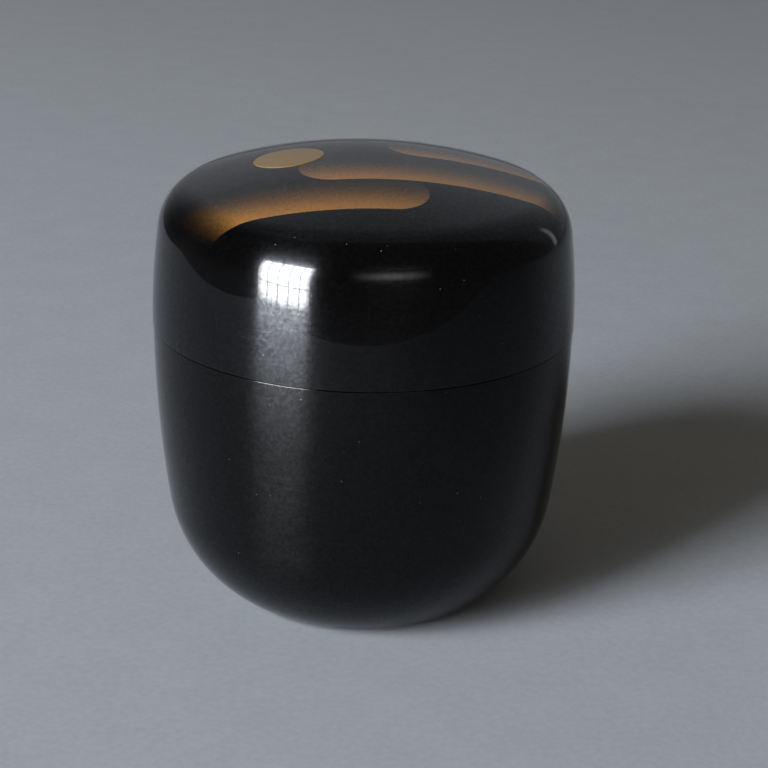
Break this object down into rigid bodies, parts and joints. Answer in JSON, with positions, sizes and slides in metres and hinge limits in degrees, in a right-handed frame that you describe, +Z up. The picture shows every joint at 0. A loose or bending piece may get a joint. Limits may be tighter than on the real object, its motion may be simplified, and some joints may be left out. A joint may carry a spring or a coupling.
{
  "type": "tea caddy",
  "caption": "Round tea caddy of black lacquered turned wood: a domed lid slides down over an upstanding rim, and the cup draws in to a small hollowed foot.",
  "frame": {"origin": "centre of the foot, on the plane that the caddy stands on", "axes": "+Z up the axis of turning, from the foot to the crown; -Y towards the picture's camera"},
  "size_m": [0.0662, 0.0662, 0.0713],
  "materials": {
    "core_wood": "turned smooth, sealed under lacquer",
    "outer_lacquer": "polished black lacquer",
    "lining_lacquer": "satin black lacquer",
    "gold_powder": "sprinkled gold, burnished"
  },
  "bodies": {
    "body": {"body_core": "core_wood", "body_outer_lacquer": "outer_lacquer", "body_lining_lacquer": "lining_lacquer", "foot_lacquer": "outer_lacquer"},
    "lid": {"lid_core": "core_wood", "lid_outer_lacquer": "outer_lacquer", "lid_lining_lacquer": "lining_lacquer"}
  },
  "joints": [
    {"name": "lid_lift", "type": "slide", "parent": "body", "child": "lid", "axis": [0, 0, 1], "range_m": [0, 0.08]}
  ]
}
